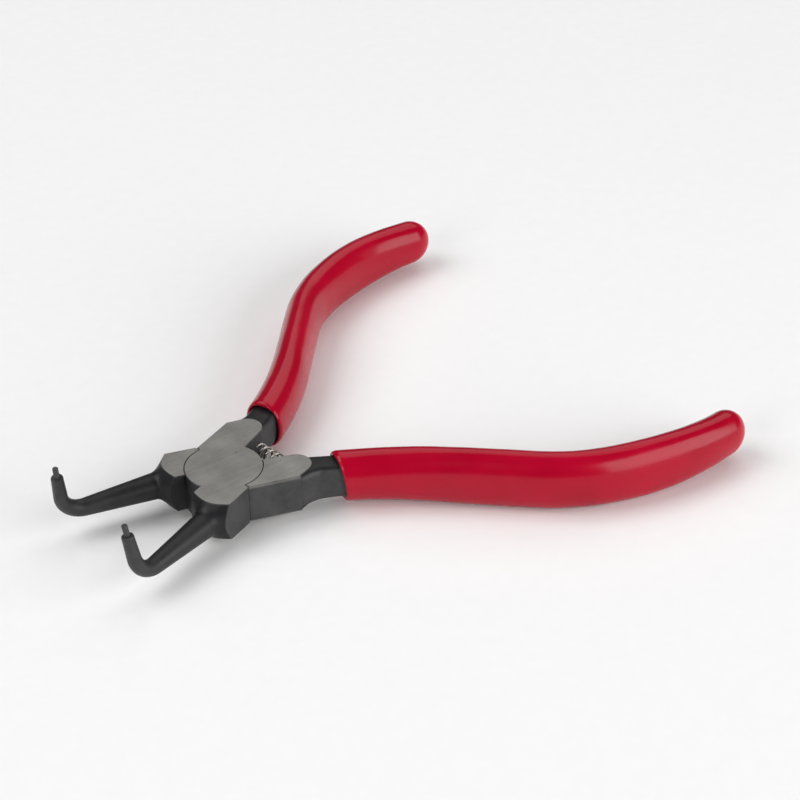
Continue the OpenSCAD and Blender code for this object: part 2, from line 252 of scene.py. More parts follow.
def ground_steel(name, light, dark, rough_low, rough_high):
    """Bright metal with stretched scratches, clouds of 6 mm and pits of less than 0.9 mm."""
    material, tree, place = new_material(name)
    along = add(tree, "ShaderNodeMapping",
                {"Rotation": (0, 0, math.radians(SCRATCH_DEG)), "Scale": (1 / SCRATCH_STRETCH, 1, 1)},
                {"Vector": (place, "Object")})
    scratches = add(tree, "ShaderNodeTexNoise", {"Scale": per_metre(0.22), "Detail": 4.0, "Roughness": 0.6},
                    {"Vector": (along, "Vector")})
    clouds = add(tree, "ShaderNodeTexNoise", {"Scale": per_metre(6.0), "Detail": 3.0},
                 {"Vector": (place, "Object")})
    pits = add(tree, "ShaderNodeTexNoise", {"Scale": per_metre(0.9), "Detail": 2.0},
               {"Vector": (place, "Object")})
    both = add(tree, "ShaderNodeMix", {"Factor": 0.55},
               {"A": (scratches, "Fac"), "B": (clouds, "Fac")}, data_type="FLOAT")
    tint = ramp(tree, (both, 0), [(0.32, dark), (0.68, light)])
    pit_mask = ramp(tree, (pits, "Fac"), [(0.24, 0.0), (0.28, 1.0)])
    colour = add(tree, "ShaderNodeMix", {"Factor": 0.4}, {"A": (tint, "Color"), "B": (pit_mask, "Color")},
                 data_type="RGBA", blend_type="MULTIPLY")
    rough = add(tree, "ShaderNodeMapRange",
                {"From Min": 0.3, "From Max": 0.7, "To Min": rough_low, "To Max": rough_high},
                {"Value": (both, 0)})
    bump = add(tree, "ShaderNodeBump", {"Strength": 0.12, "Distance": 0.04 * MM},
               {"Height": (scratches, "Fac")})
    shader = add(tree, "ShaderNodeBsdfPrincipled", {"Metallic": 1.0},
                 {"Base Color": (colour, "Result"), "Roughness": (rough, "Result"),
                  "Normal": (bump, "Normal")})
    add(tree, "ShaderNodeOutputMaterial", links={"Surface": (shader, "BSDF")})
    return material


ground_flat = ground_steel("surface_ground_steel", "#a9a7a2", "#7f7d79", 0.34, 0.52)
ground_rivet = ground_steel("ground_flush_rivet_steel", "#a8a6a1", "#807e7a", 0.34, 0.52)
filed_edge = ground_steel("filed_chamfer_steel", "#8a8884", "#5c5b59", 0.6, 0.75)
print("ground steel made")

# %% [markdown]
# ## Phosphated forging
#
# Everything that was not ground is black: the forging is phosphated and oiled, which leaves a fine
# crystalline skin, satin and nearly neutral, a little patchy where oil lies thicker. The eye reads it
# from soft highlights along the arms more than from its colour, so roughness varies as the tone does.
# Where hands and rings rub it, the grey steel below begins to show. That could be painted, but here a wear
# attribute is worked out with each shape, so the wear follows the edges. On the outer sides of blocks and on
# the shank's sides it also holds painted reflection of the pale floor. Phosphate alone has an IOR of 1.5 to
# 1.6. Oil fills its crystals, so 1.36 was matched to the photograph.


# %% Phosphated steel
def phosphated_steel(name, light, dark, rubbed_and_sheen, rough_low, rough_high):
    """Dark satin skin: patches of 4 mm, crystals drawn 0.25 mm wide to show, and paler places: rubbed steel,
    and on the sides partly painted reflection.
    """
    material, tree, place = new_material(name)
    patches = add(tree, "ShaderNodeTexNoise", {"Scale": per_metre(4.0), "Detail": 5.0, "Roughness": 0.62},
                  {"Vector": (place, "Object")})
    crystals = add(tree, "ShaderNodeTexNoise", {"Scale": per_metre(0.25), "Detail": 2.0},
                   {"Vector": (place, "Object")})
    tone = add(tree, "ShaderNodeMix", {"Factor": 0.3},
               {"A": (patches, "Fac"), "B": (crystals, "Fac")}, data_type="FLOAT")
    tint = ramp(tree, (tone, 0), [(0.3, dark), (0.7, light)])
    # Paler where the attribute says: rubbed steel, and on the sides also painted reflection of the floor.
    wear_and_sheen = add(tree, "ShaderNodeAttribute", attribute_name="wear_and_sheen")
    broken = add(tree, "ShaderNodeMath", links={0: (wear_and_sheen, "Fac"), 1: (patches, "Fac")}, operation="MULTIPLY")
    colour = add(tree, "ShaderNodeMix", {"B": linear(rubbed_and_sheen)}, {"Factor": (broken, 0), "A": (tint, "Color")},
                 data_type="RGBA")
    rough = add(tree, "ShaderNodeMapRange",
                {"From Min": 0.3, "From Max": 0.7, "To Min": rough_low, "To Max": rough_high},
                {"Value": (tone, 0)})
    fine = add(tree, "ShaderNodeBump", {"Strength": 0.35, "Distance": 0.05 * MM},
               {"Height": (crystals, "Fac")})
    bump = add(tree, "ShaderNodeBump", {"Strength": 0.35, "Distance": 0.3 * MM},
               {"Height": (patches, "Fac"), "Normal": (fine, "Normal")})
    shader = add(tree, "ShaderNodeBsdfPrincipled", {"IOR": 1.36},
                 {"Base Color": (colour, "Result"), "Roughness": (rough, "Result"),
                  "Normal": (bump, "Normal")})
    add(tree, "ShaderNodeOutputMaterial", links={"Surface": (shader, "BSDF")})
    return material


black_forging = phosphated_steel("phosphated_oiled_forging", "#1e1e20", "#111113", "#6a6a6a", 0.34, 0.52)
black_pin = phosphated_steel("blackened_pin_steel", "#4a4a4b", "#303032", "#6a6a6a", 0.36, 0.5)
print("phosphated steel made")

# %% [markdown]
# ## Dipped PVC
#
# The sleeves are plastisol: the hot handles are dipped in liquid PVC, which sets to a deep red, thick,
# glossy skin. It has no grain. What shows is the gloss, with reflections that wander a little because
# the skin ran before it set, so a long soft bump of 7 mm goes under a low roughness. A clear coat could give
# the gloss too, but the skin is one material all through, so one glossy base is enough. Hard clean PVC has
# an IOR near 1.53. This soft, handled skin mirrors less, and 1.34 was matched to the photograph's highlights.


# %% Dipped PVC
def dipped_pvc(name, light, dark):
    """Glossy red plastic with slow waves of 7 mm, faint blush of 12 mm and sparse specks of dust."""
    material, tree, place = new_material(name)
    blush = add(tree, "ShaderNodeTexNoise", {"Scale": per_metre(12.0), "Detail": 2.0},
                {"Vector": (place, "Object")})
    waves = add(tree, "ShaderNodeTexNoise", {"Scale": per_metre(7.0), "Detail": 1.0},
                {"Vector": (place, "Object")})
    dust = add(tree, "ShaderNodeTexNoise", {"Scale": per_metre(1.4), "Detail": 1.0},
               {"Vector": (place, "Object")})
    tint = ramp(tree, (blush, "Fac"), [(0.3, dark), (0.7, light)])
    specks = ramp(tree, (dust, "Fac"), [(0.8, 0.0), (0.84, 1.0)])
    height = add(tree, "ShaderNodeMath", {1: 0.15}, {0: (specks, "Color"), 2: (waves, "Fac")},
                 operation="MULTIPLY_ADD")
    bump = add(tree, "ShaderNodeBump", {"Strength": 0.35, "Distance": 0.2 * MM}, {"Height": (height, 0)})
    rough = add(tree, "ShaderNodeMapRange",
                {"From Min": 0.3, "From Max": 0.7, "To Min": 0.16, "To Max": 0.24},
                {"Value": (blush, "Fac")})
    shader = add(tree, "ShaderNodeBsdfPrincipled", {"IOR": 1.34},
                 {"Base Color": (tint, "Color"), "Roughness": (rough, "Result"),
                  "Normal": (bump, "Normal")})
    add(tree, "ShaderNodeOutputMaterial", links={"Surface": (shader, "BSDF")})
    return material


red_sleeve = dipped_pvc("dipped_red_pvc", "#af0027", "#a30021")
print("dipped PVC made")

# %% [markdown]
# ## Drawn spring wire
#
# The return spring is cold-drawn carbon steel wire, left bare: bright, slightly warm, with die lines
# along the wire. The lines are far finer than a pixel, so they appear here as a streaky tone and roughness
# of about 0.35 mm, which makes the turns glint one by one.


# %% Spring wire
wire, tree, place = new_material("drawn_spring_wire")
streaks = add(tree, "ShaderNodeTexNoise", {"Scale": per_metre(0.35), "Detail": 3.0},
              {"Vector": (place, "Object")})
wire_tint = ramp(tree, (streaks, "Fac"), [(0.3, "#8f8b84"), (0.7, "#cfcac2")])
wire_rough = add(tree, "ShaderNodeMapRange",
                 {"From Min": 0.3, "From Max": 0.7, "To Min": 0.22, "To Max": 0.4},
                 {"Value": (streaks, "Fac")})
wire_shader = add(tree, "ShaderNodeBsdfPrincipled", {"Metallic": 1.0},
                  {"Base Color": (wire_tint, "Color"), "Roughness": (wire_rough, "Result")})
add(tree, "ShaderNodeOutputMaterial", links={"Surface": (wire_shader, "BSDF")})
print("spring wire made")

# %% [markdown]
# ## The crossed head, from its outline
#
# Each lever carries a jaw block, a round lap of half thickness and a handle block. In plan these are
# straight lines and arcs, so the outline is put together from them, once for the half that holds the
# lap and once for each block's other half, which is cut back to a round pocket for the other lap.
# Booleans of discs and boxes could do it too, but an outline keeps its points in order for the bevels.
# The values are those of the solid model, in millimetres.

# %% Sizes of the head
HEAD_T, LAP_R, LAP_GAP, FACE_GAP = 8.6, 7.95, 0.1, 0.1
MID_Z = HEAD_T / 2
PIVOT = np.zeros(2)
JAW_STOP = np.array([-0.5, 9.2])
JAW_CORNER = np.array([-6.6, 11.35])
JAW_ROOT, JAW_FACE_DEG = np.array([-FACE_GAP, 0.0]), 19.6
BLOCK_STOP = np.array([-0.4, 9.2])
BLOCK_CORNER = np.array([9.8, 12.9])
NECK, NECK_R, INNER_DEG = np.array([11.8, 8.45]), 3.25, 24
STEP_IN, STEP_DEG, OUTER_FOOT_DEG = 0.8, -50, 75


def toward(deg, length=1.0):
    """Vector of a length at an angle from +X."""
    return length * np.array([math.cos(math.radians(deg)), math.sin(math.radians(deg))])


def angle_of(point, centre):
    """Angle of a point seen from a centre, in degrees."""
    return math.degrees(math.atan2(point[1] - centre[1], point[0] - centre[0]))


def arc(centre, radius, start_deg, end_deg, step_mm=0.25):
    """Points on a circle from one angle to another, about step_mm apart."""
    count = max(2, math.ceil(abs(math.radians(end_deg - start_deg)) * radius / step_mm))
    a = np.radians(np.linspace(start_deg, end_deg, count + 1))
    return centre + radius * np.column_stack([np.cos(a), np.sin(a)])


def line_meets_circle(start, through, centre, radius):
    """Farther crossing of a line and a circle: the larger root t of the quadratic equation that says that
    start + t (through - start) lies a radius away from the centre."""
    run, offset = through - start, start - centre
    a, b, c = run @ run, run @ offset, offset @ offset - radius ** 2
    return start + run * (-b + math.sqrt(b * b - a * c)) / a


print("head", HEAD_T, "mm thick, laps", 2 * LAP_R, "mm across")

# %% [markdown]
# Two open outlines come first: round the jaw block, and round the handle block. Both start and end on
# a circle about the pivot, and the circle's radius decides whether they join the lap or the pocket.

# %% Outlines of the blocks and of the lap half
FACE_AIM, OUTER_BACK, INNER_LEN, LEAD_IN = 52.0, 0.4, 9.6, 12.0
outer_run = (JAW_CORNER - JAW_STOP) / np.linalg.norm(JAW_CORNER - JAW_STOP)
inner_run = toward(180 - JAW_FACE_DEG, FACE_AIM) - JAW_ROOT
inner_run /= np.linalg.norm(inner_run)
jaw_ends = np.vstack([JAW_CORNER - OUTER_BACK * outer_run, JAW_ROOT + INNER_LEN * inner_run])


def jaw_edge(radius):
    """Jaw block from the side stop along its outer side, across to the inner face and back to the circle."""
    return np.vstack([line_meets_circle(JAW_ROOT, JAW_STOP, PIVOT, radius), JAW_STOP, jaw_ends,
                      line_meets_circle(JAW_ROOT, jaw_ends[1], PIVOT, radius)])


def block_edge(radius):
    """Handle block at -Y from the side stop to its round end and along the inner face, on the same circle."""
    root = np.array([FACE_GAP, 0.0])
    inner_foot = NECK + toward(INNER_DEG - 90, NECK_R)
    lead_in = inner_foot - toward(INNER_DEG, LEAD_IN)
    edge = np.vstack([line_meets_circle(root, BLOCK_STOP, PIVOT, radius), BLOCK_STOP, BLOCK_CORNER,
                      BLOCK_CORNER + toward(STEP_DEG, STEP_IN),
                      arc(NECK, NECK_R, OUTER_FOOT_DEG, INNER_DEG - 90),
                      line_meets_circle(lead_in, inner_foot, PIVOT, radius)])
    return edge * [1, -1]


def pivot_arc(radius, start, end, forward):
    """Inner points of the pivot circle between two outline ends, one way round or the other."""
    a, b = angle_of(start, PIVOT), angle_of(end, PIVOT)
    b += 360 if forward and b < a else 0
    b -= 360 if not forward and b > a else 0
    return arc(PIVOT, radius, a, b)[1:-1]


jaw_lap, block_lap = jaw_edge(LAP_R), block_edge(LAP_R)
lap_outline = np.vstack([jaw_lap, pivot_arc(LAP_R, jaw_lap[-1], block_lap[0], True),
                         block_lap, pivot_arc(LAP_R, block_lap[-1], jaw_lap[0], True)])
POCKET_R = LAP_R + LAP_GAP
jaw_open, block_open = jaw_edge(POCKET_R), block_edge(POCKET_R)
jaw_outline = np.vstack([jaw_open, pivot_arc(POCKET_R, jaw_open[-1], jaw_open[0], False)])
block_outline = np.vstack([block_open, pivot_arc(POCKET_R, block_open[-1], block_open[0], False)])
print("outline points:", len(lap_outline), len(jaw_outline), len(block_outline))

# %% [markdown]
# An outline becomes a block by carrying a short profile round it: straight up the side, then in over
# a broken edge. Real edges are never knife sharp, and the thin bevel is what catches the light. A Bevel
# modifier could do it with a weight on each edge. Here each corner has a width of its own, which is larger
# at the handle block's filed chamfer. The helpers come first: an outline moved in, and flat caps.

# %% Insets and caps
SAME_POINT, NO_AREA = 0.01, 1e-9


def inset(outline, width):
    """Outline moved in: a corner goes along the sum of its two edge normals over one plus their product."""
    before = outline - np.roll(outline, 1, axis=0)
    after = np.roll(outline, -1, axis=0) - outline
    left = [np.column_stack([-e[:, 1], e[:, 0]]) / np.linalg.norm(e, axis=1)[:, None]
            for e in (before, after)]
    mitre = (left[0] + left[1]) / (1 + np.sum(left[0] * left[1], axis=1))[:, None]
    return outline + mitre * width[:, None]


def is_at(outline, corners):
    """True where an outline point is one of the corners: its least distance to them is next to nothing."""
    return np.min(np.linalg.norm(outline[:, None] - corners[None], axis=2), axis=1) < SAME_POINT


def lifted(flat, z):
    """Flat points given a height, which may differ from point to point."""
    return np.column_stack([flat, np.broadcast_to(z, len(flat))])


def cap(points, loops):
    """Triangles over flat loops of point numbers: the first is the rim, the others are holes in it."""
    order = np.concatenate(loops)
    triangles = tessellate_polygon([[points[i].tolist() for i in loop] for loop in loops])
    return [[int(order[i]) for i in t] for t in triangles]


def facing(points, triangles, up):
    """Triangles all turned up or down, by the sign of their area in plan."""
    t = np.array(triangles)
    a, b, c = points[t[:, 0]], points[t[:, 1]], points[t[:, 2]]
    area = (b[:, 0] - a[:, 0]) * (c[:, 1] - a[:, 1]) - (b[:, 1] - a[:, 1]) * (c[:, 0] - a[:, 0])
    full = np.abs(area) > NO_AREA
    t, wrong = t[full], (area[full] > 0) != up
    t[wrong] = t[wrong][:, ::-1]
    return t.tolist()


lap_cap = cap(lifted(lap_outline, 0.0), [np.arange(len(lap_outline))])
print("flat cap over the lap half:", len(lap_cap), "triangles")

# %% [markdown]
# A block is four rings, from its back up the side and over the bevel to its face, with a cap at either end.
# A bore is a few rings more, which run between holes in the two caps. The outer sides, where the tool lies in
# a drawer and on the bench, are paler than the inner ones: partly rubbed, partly painted floor reflection.

# %% Blocks with broken edges
EDGE_BREAK, SIDE_CHAMFER, NO_BREAK, RUB_DEPTH = 0.08, 0.4, 0.004, 0.3
# The outer sides' paler tone is partly rubbing and partly painted reflection of the pale floor.
SIDE_WEAR_AND_SHEEN, INNER_WEAR, BORE_STEP = 0.55, 0.12, 0.1
block_side = np.array([BLOCK_STOP, BLOCK_CORNER]) * [1, -1]
outer_sides = np.vstack([JAW_STOP, jaw_ends[:1], block_side])


def block(outline, back_z, face_z, bore=()):
    """Straight sides from back_z to face_z with a bevel at face_z, and a bore of rings (radius, z) if given.
    Finish 0 is the black skin of the sides, 1 the ground flats and bore, 2 the filed chamfer. The bevel is
    rubbed bare; the outer sides are paler, partly rubbed and partly painted reflection of the pale floor."""
    width = np.where(is_at(outline, block_side), SIDE_CHAMFER, EDGE_BREAK)
    width = np.where(is_at(outline, jaw_ends), NO_BREAK, width)
    up = face_z > back_z
    step = width if up else -width
    under = step + (RUB_DEPTH if up else -RUB_DEPTH)
    rim = [lifted(outline, back_z), lifted(outline, face_z - under), lifted(outline, face_z - step),
           lifted(inset(outline, width), face_z)]
    columns = len(outline)
    circle = arc(PIVOT, 1.0, 0, 360, BORE_STEP)[:-1]
    bores = [lifted(circle * radius, z) for radius, z in bore]
    points = np.vstack(rim + bores)
    sides = ring_faces(4, columns)
    walls = ring_faces(len(bores), len(circle), 4 * columns) if bores else []
    if not up:
        sides, walls = ([face[::-1] for face in faces] for faces in (sides, walls))
    wide = np.minimum(width, np.roll(width, -1)) > 2 * EDGE_BREAK
    finish = [0] * (2 * columns) + [2 * int(w) for w in wide]
    face_loops, back_loops = [np.arange(3 * columns, 4 * columns)], [np.arange(columns)]
    if bores:
        back_loops.append(np.arange(len(circle)) + len(points) - len(circle))
        face_loops.append(np.arange(len(circle)) + 4 * columns)
    flats = facing(points, cap(points, face_loops), up) + facing(points, cap(points, back_loops), not up)
    wear_and_sheen = np.zeros(len(points))
    # Outer sides painted paler: partly rubbing, partly painted reflection of the floor.
    wear_and_sheen[:2 * columns] = np.tile(np.where(is_at(outline, outer_sides), SIDE_WEAR_AND_SHEEN, INNER_WEAR), 2)
    wear_and_sheen[2 * columns:4 * columns] = 1.0
    return points, sides + walls + flats, finish + [1] * (len(walls) + len(flats)), wear_and_sheen


print("corners with the wide chamfer:", int(is_at(lap_outline, block_side).sum()))

# %% [markdown]
# ## The bent jaw
#
# From the block grows a tapered arm, bent up near its end and stepped down to the pin. It is one tube:
# the ring's radius shrinks along the way, and the centre line is a straight, an arc and a straight. A curve
# with a round bevel could make that, but not where it begins. The block's front was turned about nearly the
# same axis, from a cone into a cove, and where that turned shoulder meets the block's four flat sides it
# leaves an arc on each, as on the corners of a nut. So the first rings follow those arcs and the later ones
# are round.

# %% Sizes and axes of the jaw arm
ARM_START = np.array([-8.0, 7.85, MID_Z])
ARM_OUT, ARM_DOWN, TIP_LEAN = 14.9, 2.4, 8.2
ARM_LEN, BEND_R, BEND_DEG, TIP_LEN, TIP_CHAMFER = 18.1, 4.8, 87.0, 5.5, 0.22
ROOT_R, BEND_IN_R, BEND_OUT_R, SHOULDER_R = 2.98, 1.86, 1.46, 1.26


def turn(axis, deg):
    """Rotation matrix about one of the three axes."""
    return np.array(Matrix.Rotation(math.radians(deg), 3, axis))


arm_axes = turn("Z", 180 - ARM_OUT) @ turn("Y", ARM_DOWN) @ turn("X", -TIP_LEAN)
tip_axes = arm_axes @ turn("Y", -BEND_DEG) @ turn("Y", 90)
bend_centre = ARM_START + arm_axes @ [ARM_LEN, 0, BEND_R]
tip_start = bend_centre + arm_axes @ turn("Y", -BEND_DEG) @ [0, 0, -BEND_R]
print("tip shoulder at", (tip_start + tip_axes @ [0, 0, TIP_LEN]).round(2))


def on_arm(along, across, up):
    """Points given in the arm's own axes: along it, across it towards the middle plane, and up."""
    return ARM_START + np.stack(np.broadcast_arrays(along, across, up), axis=-1) @ arm_axes.T


def arm_radius(along):
    """Taper of the straight arm, in proportion to the distance from its root."""
    return ROOT_R + (BEND_IN_R - ROOT_R) * along / ARM_LEN


# %% [markdown]
# The shoulder's profile is one cubic curve in (distance along the arm, radius). No formula gives the place
# where the turned surface leaves the block, so it is searched for: the surface is sampled finely, and for
# each direction round the arm the first point inside all four sides is taken, with a straight step back to
# the side itself. Columns are then shared out evenly between the four corners.

# %% The turned shoulder and where it meets the block
COVE_END, SHOULDER_SHIFT, SIDE_COLUMNS = 3.8, 1.17, 24
shoulder_profile = np.array([[-0.9, 6.95], [1.2, 5.05], [2.2, 2.66], [COVE_END, arm_radius(COVE_END)]])


def shoulder(t, phi):
    """Cone running into a cove: a cubic of (distance, radius) turned by phi, its axis easing to the arm's."""
    weights = [(1 - t) ** 3, 3 * t * (1 - t) ** 2, 3 * t ** 2 * (1 - t), t ** 3]
    along, radius = (sum(w * p for w, p in zip(weights, column)) for column in shoulder_profile.T)
    shift = SHOULDER_SHIFT * (1 - t * t * (3 - 2 * t))
    return on_arm(along, shift + radius * np.cos(phi), radius * np.sin(phi))


def beyond_sides(points):
    """Signed distances beyond the block's top, outer side, underside and inner face."""
    plan, z = points[..., :2], points[..., 2]
    inner = (plan - JAW_ROOT) @ np.array([-inner_run[1], inner_run[0]])
    outer = (plan - JAW_CORNER) @ np.array([outer_run[1], -outer_run[0]])
    return np.stack([z - HEAD_T, outer, -z, inner])


fine_phi, fine_t = np.linspace(0, 2 * np.pi, 2880, endpoint=False), np.linspace(0, 1, 300)
beyond = beyond_sides(shoulder(fine_t[:, None], fine_phi))
excess = beyond.max(axis=0)
inside = np.argmax(excess <= 0, axis=0)
at_phi = np.arange(len(fine_phi))
before, after = excess[inside - 1, at_phi], excess[inside, at_phi]
meets_t = fine_t[inside] - fine_t[1] * -after / (before - after)
which_side = beyond.argmax(axis=0)[inside - 1, at_phi]
corners = np.flatnonzero(which_side != np.roll(which_side, 1))
starts = fine_phi[corners]
spans = np.diff(np.append(starts, starts[0] + 2 * np.pi))
along_side = np.arange(SIDE_COLUMNS) / SIDE_COLUMNS
phi = (starts[:, None] + spans[:, None] * along_side).ravel()
meets_t = np.interp(phi, fine_phi, meets_t, period=2 * np.pi)
print("shoulder meets sides", which_side[corners], "at", np.degrees(starts).round(1))


# %% [markdown]
# The tube starts inside the block, comes out on the block's own four sides, runs along them to the
# arcs, and from there over the cone and the cove to the round arm, the bend and the tapered end. The
# short stretch on the block's top and underside is ground like the rest of the flats. Towards the tip, and
# more below than above, the black skin is rubbed thinner.

# %% The jaw arm as one tube
ROOT_WEAR, BEND_WEAR, TIP_WEAR, UNDER_WEAR, OVER_WEAR = 0.15, 0.45, 0.5, 1.0, 0.3
BURIED_SIZE, CHAMFER_BULGE = 0.8, 0.3


def jaw_arm():
    """Block's end, cove, straight, bend and tapered end, as rings from inside the block to the pin."""
    side, rise = np.cos(phi), np.sin(phi)
    arcs = shoulder(meets_t, phi)
    ones = np.ones(SIDE_COLUMNS)
    to_outer = np.concatenate([along_side, ones, 1 - along_side, 0 * ones])[:, None]
    plan = jaw_ends[1] + to_outer * (jaw_ends[0] - jaw_ends[1])
    back = np.column_stack([plan, np.clip(arcs[:, 2], 0, HEAD_T)])
    buried = back.mean(axis=0) + BURIED_SIZE * (back - back.mean(axis=0)) - arm_axes[:, 0]
    t = meets_t + (1 - meets_t) * np.linspace(0, 1, 14)[1:, None]
    cove = shoulder(t, phi)
    arm_d = np.linspace(COVE_END, ARM_LEN, 30)[1:, None]
    straight = on_arm(arm_d, arm_radius(arm_d) * side, arm_radius(arm_d) * rise)
    turn_deg = np.linspace(0, BEND_DEG, 40)[1:]
    bend_r = BEND_IN_R + (BEND_OUT_R - BEND_IN_R) * (turn_deg / BEND_DEG)
    a = np.radians(turn_deg)[:, None]
    out = BEND_R - bend_r[:, None] * rise
    bend = on_arm(ARM_LEN + out * np.sin(a), bend_r[:, None] * side, BEND_R - out * np.cos(a))
    bulge = CHAMFER_BULGE * TIP_CHAMFER
    rim_z = [TIP_LEN - TIP_CHAMFER, TIP_LEN - bulge, TIP_LEN]
    rim_r = [SHOULDER_R, SHOULDER_R - bulge, SHOULDER_R - TIP_CHAMFER]
    tip_z = np.concatenate([np.linspace(0, rim_z[0], 12)[1:], rim_z[1:]])
    tip_r = np.interp(tip_z, [0, *rim_z], [BEND_OUT_R, *rim_r])[:, None]
    local = np.stack(np.broadcast_arrays(-tip_r * rise, tip_r * side, tip_z[:, None]), axis=-1)
    tip = tip_start + local @ tip_axes.T
    rings = np.concatenate([[buried, back, arcs], cove, straight, bend, tip])
    to_bend, to_tip = len(rings) - len(bend) - len(tip), len(rings) - len(tip)
    handled = np.interp(np.arange(len(rings)), [to_bend - len(straight), to_bend, to_tip],
                        [ROOT_WEAR, BEND_WEAR, TIP_WEAR], left=0.0)
    wear_and_sheen = handled[:, None] * (UNDER_WEAR + OVER_WEAR - (UNDER_WEAR - OVER_WEAR) * rise) / 2
    # The block's sides keep their tones here: the outer one paler, partly painted reflection of the pale
    # floor.
    wear_and_sheen[1:3] = np.repeat([1.0, SIDE_WEAR_AND_SHEEN, 1.0, INNER_WEAR], SIDE_COLUMNS)
    points, faces, finish, wear_and_sheen = skin(rings, wear_and_sheen)
    finish[len(phi):2 * len(phi)] = np.repeat([1, 0, 1, 0], SIDE_COLUMNS).tolist()
    return points, faces, finish, wear_and_sheen


arm_shell = jaw_arm()
print("jaw arm:", len(arm_shell[0]) // len(phi), "rings of", len(phi), "points")

# %% [markdown]
# ## Handle path
#
# In plan the handle leaves the block, bows out, runs straight, turns back at a knee and ends nearly in
# line with the tool. A Bezier curve laid over the photograph could follow it, but arcs with radii in
# millimetres are how a forging die is drawn. The heading changes evenly along each arc, so it is a broken
# line over the distance walked, and the path is the running sum of its cosine and sine.

# %% Handle path
BOW_R, STRAIGHT, KNEE_R, TAIL_R = 88.0, 18.6, 38.7, 57.0
HEADINGS = np.array([26.0, 45.5, 45.5, 24.0, -8.5, -8.5])
STEEL_TAIL, END_T, PATH_START = 0.2, 2.2, -4.0
arc_turns = np.radians(np.abs(np.diff(HEADINGS)))
leg_lengths = np.array([BOW_R * arc_turns[0], STRAIGHT, KNEE_R * arc_turns[2],
                        TAIL_R * arc_turns[3], STEEL_TAIL + END_T])
knots = np.concatenate([[0], np.cumsum(leg_lengths)])
GRIP_END = knots[-1]
STEEL_END = GRIP_END - END_T
walk = np.linspace(PATH_START, GRIP_END, 6000)
walk_heading = np.radians(np.interp(walk, knots, HEADINGS))
steps = np.diff(walk)[:, None] * np.column_stack([np.cos(walk_heading), np.sin(walk_heading)])[:-1]
walk_point = np.vstack([[0, 0], np.cumsum(steps, axis=0)])
walk_point += NECK - np.array([np.interp(0, walk, walk_point[:, j]) for j in range(2)])
print("handle length", round(float(GRIP_END), 1), "mm, end at", walk_point[-1].round(1))

# %% [markdown]
# ## Sections of the handle
#
# Across the path, the steel is a rounded oblong at the neck and an oval in the palm, and the sleeve is an
# oval all along. A few drawn sections with a loft between them could do, but here the half width, the half
# height and the squareness are each a smooth function of the distance walked, so nothing kinks.

# %% Sizes of sleeve and steel along the handle
MOUTH, WALL, SLEEVE_GAP = 8.6, 1.0, 0.04
PALM_SHARE, WAIST_SHARE = 0.35, 0.7
GRIP_W_MOUTH, GRIP_W, GRIP_H_MOUTH, GRIP_H_PALM, GRIP_H_END = 8.8, 8.1, 11.2, 13.0, 10.2
NECK_W, NECK_H, NECK_SQUARE = 5.9, 8.3, 4.5
CORE_W, CORE_H, CORE_SQUARE = 6.4, 7.9, 3.3
NECK_FLARE, FLARE_LEN = 1.7, 5.0
PALM = MOUTH + PALM_SHARE * (GRIP_END - MOUTH)
WAIST = MOUTH + WAIST_SHARE * (GRIP_END - MOUTH)


def ease(t):
    """Smooth step from 0 to 1: three squares less two cubes."""
    c = np.clip(t, 0, 1)
    return c * c * (3 - 2 * c)


def grip_half(s):
    """Half width and half height of the sleeve at a distance s: eased between mouth, palm and end."""
    from_mouth = ease((s - MOUTH) / (PALM - MOUTH))
    to_end = ease((s - WAIST) / (GRIP_END - WAIST))
    width = GRIP_W_MOUTH + (GRIP_W - GRIP_W_MOUTH) * from_mouth
    height = GRIP_H_MOUTH + (GRIP_H_PALM - GRIP_H_MOUTH) * from_mouth
    return np.column_stack([width, height + (GRIP_H_END - height) * to_end]) / 2


def core_half(s):
    """Half sizes of the steel in the sleeve: from the mouth's to the sleeve's less its wall at the palm."""
    at_mouth = np.array([CORE_W, CORE_H]) / 2
    in_palm = grip_half(s) - WALL - SLEEVE_GAP
    return at_mouth + (in_palm - at_mouth) * ease((s - MOUTH) / (PALM - MOUTH))[:, None]


def steel_half(s):
    """Half sizes of the steel from the neck on: eased up to the mouth."""
    at_neck = np.array([NECK_W, NECK_H]) / 2
    return at_neck + (core_half(s) - at_neck) * ease(s / MOUTH)[:, None]


def squareness(s):
    """Exponent of the steel's section, eased from the neck to the mouth, then to an oval's 2 in the palm."""
    before = NECK_SQUARE + (CORE_SQUARE - NECK_SQUARE) * ease(s / MOUTH)
    return before + (2 - before) * ease((s - MOUTH) / (PALM - MOUTH))


print("sleeve in the palm", (2 * grip_half(np.array([PALM]))[0]).round(1), "mm")

# %% [markdown]
# Each ring is a superellipse square to the path: a power of the cosine and sine makes it squarer or rounder.
# Where the neck leaves the block it is wider on the outside. The mouth of a sleeve has a depth and a lean of
# its own, because each handle was dipped by hand.

# %% Rings across the handle
HANDLE_COLUMNS = 96


